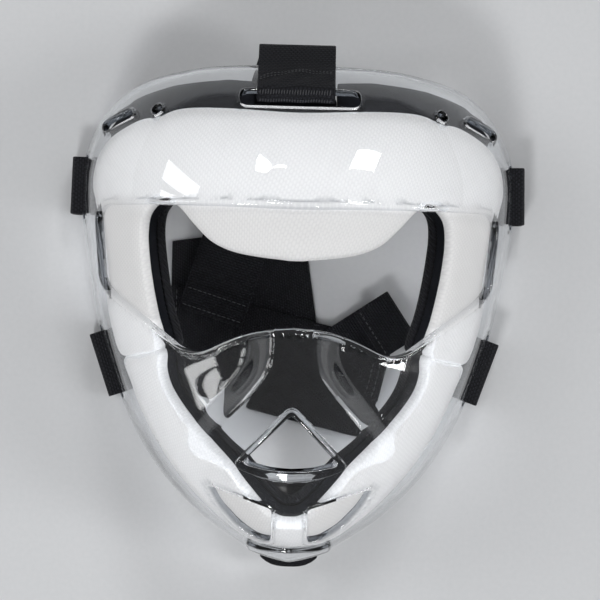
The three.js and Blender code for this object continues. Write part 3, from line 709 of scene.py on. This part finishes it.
def wrinkles(flat, strength):
    # soft unevenness of cloth over foam
    x, y = flat[:, 0], flat[:, 1]
    slow = np.sin(x * 0.11 + 1.3 * np.sin(y * 0.07)) * np.sin(y * 0.13 + 0.8)
    quick = np.sin(x * 0.31 + 2.1 * np.sin(y * 0.19)) * np.sin(y * 0.27 + x * 0.05)
    return strength * (0.6 * slow + 0.4 * quick)


def coverPiece(name, loop, node):
    bm = flatSheet([loop], cushion["cell"], cushion["band"], cushion["rings"])
    flat = places(bm)[:, :2]
    edge = farFrom(flat, loop)
    puff = wrinkles(flat, cushion["inset"]) * softStep(edge, 0.5, 8)
    drop = overEdge(edge, cushion["frontRound"]) + cushion["inset"]
    putBack(bm, np.column_stack([flat, frontDepth - drop + puff]))
    rim = [e for e in bm.edges if e.is_boundary]
    roundEnd = frontDepth - cushion["frontRound"]
    for depth in np.linspace(roundEnd, coverEnd, 4)[1:]:
        made = ops.extrude_edge_only(bm, edges=rim)["geom"]
        rim = [g for g in made if isinstance(g, bmesh.types.BMEdge) and g.is_boundary]
        for v in {v for e in rim for v in e.verts}:
            v.co.z = depth
    ahead = np.roll(loop, -1, 0) - np.roll(loop, 1, 0)
    outward = unit(np.column_stack([ahead[:, 1], -ahead[:, 0]]))
    if insideLoop(loop[:1] + 0.5 * outward[:1], loop)[0]:
        outward = -outward

    def spread(found):
        # the knit goes on down the side walls
        down = np.maximum(roundEnd - cushion["inset"] - found[:, 2], 0)
        nearby = [np.argmin(((loop - place) ** 2).sum(1)) if far > 0.1 else 0
                  for place, far in zip(found[:, :2], down)]
        return outward[nearby] * down[:, None]

    keepFlatPlace(bm, spread)
    ops.solidify(bm, geom=bm.faces[:], thickness=-cushion["cover"])
    putBack(bm, layOnDome(places(bm), 0))
    obj = piece(name, bm, looks["knit"], "mask", "white_knit", node)
    # the cover is sewn to the foam along its edge
    bm = bmesh.new()
    ring = evenly(loop, cushion["stitchSpacing"])
    ahead = np.roll(ring, -1, 0) - ring
    sewn = coverEnd + cushion["sewnUp"]
    turns = np.arctan2(ahead[:, 1], ahead[:, 0])
    stitchRow(bm, [(x, y, sewn, turn) for (x, y), turn in zip(ring, turns)], 1.5, 0.3)
    putBack(bm, layOnDome(places(bm), 0))
    piece(name + "Stitches", bm, looks["whiteThread"], "mask", "white_knit")


def blockPiece(name, loop, low, high, lowRound, highRound, material, node=None, shape=None):
    bm = flatSheet([loop], cushion["cell"], cushion["band"], cushion["rings"])
    keepFlatPlace(bm)
    ops.solidify(bm, geom=bm.faces[:], thickness=high - low)
    found = places(bm)
    flat = found[:, :2]
    front = found[:, 2] > (found[:, 2].min() + found[:, 2].max()) / 2
    edge = farFrom(flat, loop)
    top = high - overEdge(edge, highRound)
    if shape:
        top += shape(edge)
    putBack(bm, layOnDome(np.column_stack([flat, np.where(front, top, low + overEdge(edge, lowRound))]), 0))
    obj = piece(name, bm, looks[material], "mask", "black_foam", node)


def makeCushions():
    right = [(x, y, 1.5) for x, y in shares(edgeRight)]
    left = [(-x, y, r) for x, y, r in right]
    top = 1.06 * halfWidth
    notch, recess = cushion["notch"], cushion["recess"]
    gap = [(notch["left"], top, 0), (notch["left"], notch["low"], 1),
           (notch["right"], notch["low"], 1), (notch["right"], top, 0)]
    edgeLoop = flatLoop([*left[::-1], *gap, *right], cushion["edgeSpacing"])
    low = foamEnd + cushion["flush"]
    blockPiece("foreheadFoamEdge", edgeLoop, low, coreFront - 0.2, 1.2, 1.2, "foam", "forehead_pad_foam")
    # behind the crown strap's loop the foam is only recessed
    corners = (("left", "low", 0), ("right", "low", 0), ("right", "high", 2), ("left", "high", 2))
    sunk = flatLoop([(recess[x], recess[y], r) for x, y, r in corners], cushion["edgeSpacing"])
    blockPiece("foreheadFoamRecess", sunk, low, frontDepth - recess["depth"], 1.0, 1.0, "foam")
    slab = coverEnd - cushion["coverGap"]
    inside = cushion["cover"] + cushion["coverGap"]
    # the foam fills the cover, and its bare side shows behind the cover's edge
    filling = lambda edge: (coreFront - 0.7 - slab) * softStep(edge, inside + 0.1, inside + 2.4)
    for name, half in (("forehead", foreheadHalf), ("jaw", jawHalf)):
        loop = smoothLoop(half)
        node = f"{name}_pad"
        coverPiece(f"{name}Cover", loop, f"{node}_cover")
        blockPiece(f"{name}Foam", loop, foamEnd, slab, 0.5, 0.5, "foam", f"{node}_foam", filling)
        blockPiece(f"{name}Lining", loop, frontDepth - cushion["thickness"], foamEnd - cushion["layerGap"],
                   cushion["backRound"], 1.0, "lining", f"{node}_backing")


makeCushions()
print("cushions made")

# Straps: a strap is made flat, its length along X, and then bent along its route
strapLook = {
    "thick": 1.6,
    "edgeRound": 0.5,
    "cell": 2.0,
    "seamGap": 0.3,
    "stitchMargin": 2.5,
    "stitchGap": 2.6,
    "stitchOff": 0.85,
    "hemThick": 1.2,
}


def flatStrap(start, end, width, shape=None, thick=strapLook["thick"]):
    counts = (max(4, round((end - start) / strapLook["cell"])), max(4, round(width / 3)))
    side = width / 2
    bm = flatGrid(np.array([start, -side]), np.array([end, side]), counts, thick / 2)
    keepFlatPlace(bm)
    ops.solidify(bm, geom=bm.faces[:], thickness=thick)
    long = [e for e in bm.edges if len(e.link_faces) == 2 and e.calc_face_angle() > 1]
    ops.bevel(bm, geom=long, offset=strapLook["edgeRound"], offset_type="OFFSET", segments=2,
                    profile=0.5, affect="EDGES", material=-1)
    if shape:
        putBack(bm, shape(places(bm)))
    return bm


def bentAlong(found, corners, closed=False):
    # x along the route, z off it; the route lies in the upright plane
    ring, run = runAlong(evenly(rounded(corners, closed, 12), 0.4, closed), closed)
    x = found[:, 0] % run[-1] if closed else found[:, 0]

    def at(s):
        if closed:
            s = s % run[-1]
        inside = np.clip(s, 0, run[-1])
        p = np.stack([np.interp(inside, run, ring[:, k]) for k in (0, 1)], 1)
        first, last = ring[1] - ring[0], ring[-1] - ring[-2]
        p += np.minimum(s, 0)[:, None] * first / np.linalg.norm(first)
        p += np.maximum(s - run[-1], 0)[:, None] * last / np.linalg.norm(last)
        return p

    tangent = unit(at(x + 0.6) - at(x - 0.6))
    normal = np.column_stack([-tangent[:, 1], tangent[:, 0]])
    there = at(x) + normal * found[:, 2:]
    return np.column_stack([there[:, 0], found[:, 1], there[:, 1]])


def routeLength(corners, closed=False):
    return float(runAlong(rounded(corners, closed, 12), closed)[1][-1])


def placed(found, x, y, heading):
    c, s = math.cos(heading), math.sin(heading)
    across, out, up = found.T
    return np.column_stack([x + c * across + s * out, y + s * across - c * out, up])


def strapPiece(name, bm, bend, material, body, slot, node=None):
    putBack(bm, bend(places(bm)))
    if bm.calc_volume(signed=True) < 0:
        ops.reverse_faces(bm, faces=bm.faces)
    piece(name, bm, looks[material], body, slot, node)


def stitchPiece(name, rows, width, bend, body, slot, gap=strapLook["stitchGap"]):
    # rows of stitches across a strap: how far along it and how far off it
    reach = width / 2 - strapLook["stitchMargin"]
    bm = bmesh.new()
    for x, z in rows:
        ys = np.linspace(-reach, reach, int(2 * reach / gap) + 1)
        stitchRow(bm, [(x, y, z, math.pi / 2) for y in ys])
    strapPiece(name, bm, bend, "thread", body, slot)


def loopPiece(name, ring, width, bend, node, shape=None):
    # a strap sewn into a ring: its two ends are opened and joined
    length, seam = routeLength(ring, True), 0.7
    bm = flatStrap(0, length, width, shape)
    middles = [(f, f.calc_center_median().x) for f in bm.faces if abs(f.normal.x) > 0.3]
    ends = [f for f, x in middles if x < 0.6 or x > length - 0.6]
    ops.delete(bm, geom=ends, context="FACES")
    found = places(bm)
    x = found[:, 0]
    found[:, 0] = np.where(x < seam, 0, np.where(x > length - seam, length, x))
    putBack(bm, bend(found))
    ops.remove_doubles(bm, verts=bm.verts, dist=0.02)
    piece(name, bm, looks["webbing"], *onMask, node)


def onShell(x, y, off, nose=1):
    flat = flatPlace(np.array([[x, y]]))
    return layOnDome(np.column_stack([flat, [off]]), nose)[0]


crown = {
    "width": 38,
    "strapWidth": 34,
    "x": -2,
    "slack": 1.2,
    "foldReach": 10,
    "foldDrop": 5,
    "drop": 28,
    "lap": 15.6,
    "turn": math.radians(-17),
    "gather": 0.35,
    "gatherEnd": 12,
    "startBack": 5.2,
    "startShift": 5.3,
    "startCut": 14,
    "endHem": {"length": 14, "off": 1.5, "stitches": (2.6, 11.4), "stitchOff": 2.25},
}
# the sewn hem that lies over the crown loop beside the slot: its upper edge is an arch
hem = {
    "start": -3.4,
    "length": 20,
    "arch": [-0.0135, 0.12, 16.6],
    "off": 1.45,
    "stitchOff": 2.15,
    "pucker": 0.5,
    "margin": 1.6,
    "row": 1.4,
    "teeth": -1.9,
    "archRows": (0.2, 1.8),
    "archSpacing": 1.7,
    "spacing": 1.3,
}
band = {
    "width": 52,
    "leftX": -64,
    "leftY": -14,
    "rightX": 45.1,
    "turn": math.radians(-13),
    "returnTurn": math.radians(9),
    "returnLength": 72,
    "returnY": 9,
    "foldLap": 2.5,
    "foldRound": 0.9,
    "stitches": (3.0, -3.5, -7),  # from its left end, or from its right one
}
curl = {"width": 28, "length": 40, "height": 7, "x": 21, "y": -22, "turn": math.radians(34),
        "stitchBack": 3, "stitchOff": 0.9}
sideLook = {"outside": 2.2, "loopStitches": (-5, 5), "tailBack": 3}
onMask = ("mask", "black_webbing")
onHarness = ("head_harness", "black_webbing")
layerStep = strapLook["thick"] + strapLook["seamGap"]
floorLayer = strapLook["seamGap"] + strapLook["thick"] / 2


def crownRoutes():
    half = strapLook["thick"] / 2
    radius, height, _, _ = rimAt(math.pi / 2)
    rimY = centreY + float(radius)
    top = float(height)
    off = crown["slack"] + half
    slotY = crownSlot["y"] + crownSlot["halfWidth"] - crown["slack"] - half
    slotOut = onShell(crown["x"], slotY, off)
    slotIn = onShell(crown["x"], slotY, -wall - off)
    rimOut = onShell(crown["x"], rimY - off, off)
    foldY = rimY + crown["foldReach"]
    foldLow = top - crown["foldDrop"] - off
    ring = [
        (slotOut[1], slotOut[2], off),
        (rimOut[1], rimOut[2], off),
        (foldY, foldLow + crown["foldDrop"], off),
        (foldY, foldLow, off),
        (rimY - wall - off, top - wall - off, off),
        (slotIn[1], slotIn[2], off),
    ]
    startZ = foldLow - layerStep
    endZ = floorLayer + 2 * layerStep
    bandTop = band["leftY"] + band["width"] / 2
    run = (foldY - bandTop + crown["lap"]) / math.cos(crown["turn"])
    strap = [
        (-crown["strapWidth"] / 2, startZ, 0),
        (crown["drop"] / 2, startZ - crown["foldDrop"], crown["foldDrop"]),
        (1.6 * crown["drop"], endZ + crown["foldDrop"], 2 * crown["foldDrop"]),
        (2.4 * crown["drop"], endZ, 2 * crown["foldDrop"]),
        (run, endZ, 0),
    ]
    return ring, strap, foldY


def makeCrown():
    ring, strap, foldY = crownRoutes()
    bend = lambda found: placed(bentAlong(found, ring, True), crown["x"], 0, math.pi / 2)
    # the webbing is a little wavy where it is gathered at the slot
    gather = lambda y: crown["gather"] * np.sin(y * 0.42 + 0.6)

    def loose(found):
        found[:, 2] += gather(found[:, 1]) * softStep(crown["gatherEnd"] - found[:, 0], 0, crown["gatherEnd"])
        return found

    loopPiece("crownLoop", ring, crown["width"], bend, "crown_strap_loop", loose)

    arch = lambda y: np.polyval(hem["arch"], y)
    pucker = lambda x, y: (
        hem["pucker"] * np.sin(y * 0.4 - 0.3 * x) * softStep(x, 5, 9) * softStep(arch(y) + 1 - x, 0, 4))

    def hemShape(found):
        x, y, z = found.T
        share = (x - hem["start"]) / hem["length"]
        x = hem["start"] + share * (arch(y) + 0.9 - hem["start"])
        return np.column_stack([x, y, z + hem["off"] + gather(y) + pucker(x, y)])

    end, wide = hem["start"] + hem["length"], crown["width"] - 0.6
    bm = flatStrap(hem["start"], end, wide, hemShape, strapLook["hemThick"])
    strapPiece("crownLoopHem", bm, bend, "webbing", *onMask)
    bm = bmesh.new()
    onHem = lambda x, y, turn: (x, y, hem["stitchOff"] + gather(y) + pucker(x, y), turn)
    half = crown["width"] / 2 - hem["margin"]
    slope = np.polyder(hem["arch"])
    rows = [
        onHem(arch(y) - back, y, math.pi / 2 - math.atan(np.polyval(slope, y)))
        for y in np.arange(-half, half, hem["archSpacing"]) for back in hem["archRows"]
    ]
    close = np.arange(-half, half, hem["spacing"])
    stitchRow(bm, rows + [onHem(hem["row"], y, 0.5) for y in close], 1.1, 0.3)
    # the close teeth that bind the end
    stitchRow(bm, [onHem(hem["teeth"], y, 0.12) for y in close], 2.4, 0.34)
    strapPiece("crownLoopStitches", bm, bend, "thread", *onMask)

    heading = crown["turn"] - math.pi / 2
    bend = lambda found: placed(bentAlong(found, strap), crown["x"], foldY, heading)
    run = routeLength(strap)
    start = crown["strapWidth"] / 2 - crown["startBack"]

    def slanted(found):
        # the start is cut level with the fold
        slant = found[:, 1] * math.tan(-crown["turn"])
        near = np.clip(1 - (found[:, 0] - found[:, 0].min()) / crown["startCut"], 0, 1)
        found[:, 0] += near * (crown["startShift"] + slant)
        return found

    wide = crown["strapWidth"]
    bm = flatStrap(start, run, wide, slanted)
    strapPiece("crownStrap", bm, bend, "webbing", *onHarness, "crown_strap")
    folded = crown["endHem"]
    raised = lambda found: found + [0, 0, folded["off"]]
    bm = flatStrap(run - folded["length"], run - 0.3, wide - 0.4, raised, strapLook["hemThick"])
    strapPiece("crownStrapHem", bm, bend, "webbing", *onHarness)
    rows = [(run - back, folded["stitchOff"]) for back in folded["stitches"]]
    stitchPiece("crownStrapStitches", rows, wide, bend, *onHarness)


def makeBand():
    def layer(length, turn, y, z):
        def lay(found):
            # its left edge lies on the fold
            x, out, up = found.T
            x = x - np.clip(1 - x / length, 0, 1) * out * math.tan(-turn)
            c, s = math.cos(turn), math.sin(turn)
            return np.column_stack([band["leftX"] + c * x - s * out, y + s * x + c * out, z + up])
        return lay

    off, wide = strapLook["stitchOff"], band["width"]
    elastic = ("head_harness", "black_elastic")
    length = (band["rightX"] - band["leftX"]) / math.cos(band["turn"])
    top = floorLayer + layerStep
    upper = layer(length, band["turn"], band["leftY"], top)
    lower = layer(band["returnLength"], band["returnTurn"], band["returnY"], floorLayer)
    strapPiece("rearBandUpper", flatStrap(0, length, wide), upper, "elastic", *elastic, "rear_band")
    strapPiece("rearBandLower", flatStrap(0, band["returnLength"], wide), lower, "elastic", *elastic)
    # the fold that joins the two layers
    foldLow = band["returnY"] - wide / 2 / math.cos(band["returnTurn"])
    foldHigh = band["leftY"] + wide / 2 / math.cos(band["turn"])
    lap, turn = band["foldLap"], band["foldRound"]
    fold = [(lap, floorLayer, 0), (-0.1, floorLayer, turn), (-0.1, top, turn), (lap, top, 0)]
    bm = flatStrap(0, routeLength(fold), foldHigh - foldLow)
    bend = lambda found: placed(bentAlong(found, fold), band["leftX"] + turn, (foldLow + foldHigh) / 2, 0)
    strapPiece("rearBandFold", bm, bend, "elastic", *elastic)
    rows = [(x % length, off) for x in band["stitches"]]
    stitchPiece("rearBandStitches", rows, wide, upper, *elastic, 2.8)

    curlLayer = floorLayer + 2 * layerStep
    route = [
        (0, curlLayer, 0),
        (curl["length"], curlLayer, curl["height"] / 2),
        (curl["length"], curlLayer + curl["height"], curl["height"] / 2),
        (curl["length"] / 2, curlLayer + curl["height"], 0),
    ]
    bend = lambda found: placed(bentAlong(found, route), curl["x"], curl["y"], curl["turn"])
    run = routeLength(route)
    bm = flatStrap(0, run, curl["width"])
    strapPiece("rearBandEnd", bm, bend, "webbing", *onHarness, "rear_band_end")
    back, off = curl["stitchBack"], curl["stitchOff"]
    stitchPiece("rearBandEndStitches", [(run - back, -off), (back, off)], curl["width"], bend, *onHarness)


def makeSideStrap(which, side):
    strap = sideStraps[which]
    width, thick = strap["width"], strapLook["thick"]
    half = thick / 2
    angle = rimAngle(strap["y"])
    rim = rimAt(angle)

    def rimPlace(turn):
        radius = float(rimAt(turn)[0])
        return np.array([radius * math.cos(turn), centreY + radius * math.sin(turn)])

    along = rimPlace(rimAngle(strap["y"] + width / 2)) - rimPlace(rimAngle(strap["y"] - width / 2))
    along /= np.linalg.norm(along)
    here = rimPlace(angle)
    far = float(rim[2]) - loopSlot["rise"]
    slot = domePoint(far * math.cos(angle), far * math.sin(angle), 1)
    lean = (here[0] - slot[0]) * along[1] - (here[1] - slot[1]) * along[0]
    heading = math.atan2(-along[0], along[1])
    turned = heading if side > 0 else math.pi - heading
    hand = "right" if side > 0 else "left"
    prefix, title = f"{hand}_{which}", hand + which.capitalize()
    place = lambda found: placed(found, side * here[0], here[1], turned)

    outside = sideLook["outside"] + half
    inside = -lean - wall - 2 * crown["slack"] - half
    corners = ((outside, half), (inside, half), (inside, slot[2]), (outside, slot[2]))
    ring = [(*corner, thick) for corner in corners]
    bend = lambda found: place(bentAlong(found, ring, True))
    loopPiece(title + "Loop", ring, width, bend, prefix + "_strap_loop")
    # two rows of stitches on the outside of the loop
    outer, off = routeLength(ring, True) - slot[2] / 2, strapLook["stitchOff"]
    rows = [(outer + step, -off) for step in sideLook["loopStitches"]]
    stitchPiece(title + "LoopStitches", rows, width, bend, *onMask)

    # the strap lies folded in on the ground, with its tail of hook tape on it
    start = inside - half - strapLook["seamGap"]
    end = start - strap["length"]
    for kind, node, look, slotName, z, reach, wide, rows in (
        ("Strap", "_strap", "elastic", "black_elastic", floorLayer,
         start, width, (start - 2, start - 5, end + 2.5)),
        ("Tail", "_strap_tail", "hooks", "hook_tape", floorLayer + layerStep,
         start - sideLook["tailBack"], width - 0.3, (end + 2, start - 5)),
    ):
        lay = lambda found: place(found + [0, 0, z])
        body = f"{prefix}_{kind.lower()}"
        strapPiece(title + kind, flatStrap(end, reach, wide), lay, look, body, slotName, prefix + node)
        stitchPiece(f"{title}{kind}Stitches", [(x, off) for x in rows], width, lay, body, slotName)


def makeChinTab():
    tab = {"width": 29, "reach": 6.5, "drop": 5.8, "slack": 0.8, "curve": 3.3, "top": -0.99, "sewn": -1.05,
           "cornerLength": 12, "endCut": 2.6, "cornerCut": 5.0}
    thick = 1.5 * strapLook["thick"]
    half = tab["width"] / 2
    radius = float(rimAt(-math.pi / 2)[0])
    rimY = centreY - radius
    edgeHeight = float(rimAt(math.asin(half / radius) - math.pi / 2)[1])
    sag = tab["curve"] * half**2 / halfWidth
    back = frontDepth - cushion["thickness"] - sag - tab["slack"] - thick / 2
    top, sewn = (onShell(0, tab[at] * halfWidth, back, 0) for at in ("top", "sewn"))
    low = edgeHeight - tab["drop"]
    route = [
        (top[1], top[2], 0),
        (sewn[1], sewn[2], thick),
        (rimY + wall + tab["reach"], low + thick / 2, 2 * thick),
        (rimY - tab["reach"], low - thick / 2, 0),
    ]
    bend = lambda found: placed(bentAlong(found, route), 0, 0, math.pi / 2)
    run = routeLength(route)

    def cornered(found):
        # its free end is cut to a low curve
        near = softStep(found[:, 0], run - tab["cornerLength"], run)
        found[:, 0] -= near * (tab["endCut"] + tab["cornerCut"] * (np.abs(found[:, 1]) / half) ** 3)
        return found

    bm = flatStrap(0, run, tab["width"], cornered, thick)
    strapPiece("chinTab", bm, bend, "webbing", *onMask, "chin_tab")
    rows = [(x, thick / 2 + 0.05) for x in (2.5, 6)]
    stitchPiece("chinTabStitches", rows, tab["width"], bend, *onMask)


makeCrown()
makeBand()
for which in sideStraps:
    for side in (1, -1):
        makeSideStrap(which, side)
makeChinTab()
print("straps made")

# Stage: pale floor, soft light, the camera straight above as in the photograph
studio = {
    "floorSize": 6.0,
    "cameraHeight": 1.2,
    "cameraPlace": (2.42, 6.68 + dome["shiftY"]),
    "roll": math.radians(1.5),
    "lens": 139.7,
}


def makeStage():
    bm = bmesh.new()
    ops.create_grid(bm, x_segments=1, y_segments=1, size=studio["floorSize"] / 2)
    mat, here = newMaterial("palePaper")
    grain = add(mat, "TexNoise", {"Scale": 400.0, "Detail": 4.0}, {"Vector": here})
    tone = add(mat, "Mix", {"data_type": "RGBA", 6: hexColour("cdcfd1"), 7: hexColour("d5d6d8")},
               {0: grain})
    paper = add(mat, "BsdfPrincipled", {"Roughness": 0.9}, {"Base Color": tone.outputs[2]})
    add(mat, "OutputMaterial", None, {"Surface": paper})
    meshObject("floor", bm, mat)

    scene = bpy.context.scene
    world = bpy.data.worlds.new("studio")
    scene.world = world
    world.use_nodes = True
    background = world.node_tree.nodes["Background"].inputs
    background[0].default_value = hexColour("ebebec")
    background[1].default_value = 0.22
    scene.view_settings.view_transform = "Standard"  # whites and blacks as they are

    # name, place, size, watts
    for name, place, size, power in (
        *[(f"pane{count}", (-1.2, y, 0.95), (0.2, 0.7), 2.0)
          for count, y in (("One", 0.62), ("Two", 0.34), ("Three", 0.06))],
        ("softboxBack", (0.35, 1.25, 1.25), (0.5, 0.3), 7),
        ("softboxRight", (1.35, -0.2, 0.95), (0.3, 0.6), 8),
        ("softboxFront", (-0.35, -1.2, 1.35), (0.4, 0.3), 12.5),
    ):
        light = bpy.data.lights.new(name, "AREA")
        light.shape = "RECTANGLE"
        light.size, light.size_y = size
        light.energy = power
        lamp = linked(name, light)
        lamp.location = place
        aim = Vector((0, 0, 0.05)) - Vector(place)
        lamp.rotation_euler = aim.to_track_quat("-Z", "Y").to_euler()

    lens = bpy.data.cameras.new("camera")
    lens.lens = studio["lens"]
    lens.sensor_width = 36
    camera = linked("camera", lens)
    x, y = studio["cameraPlace"]
    camera.location = (x * mm, y * mm, studio["cameraHeight"])
    camera.rotation_euler = (0, 0, studio["roll"])
    scene.camera = camera


makeStage()
print("stage made")
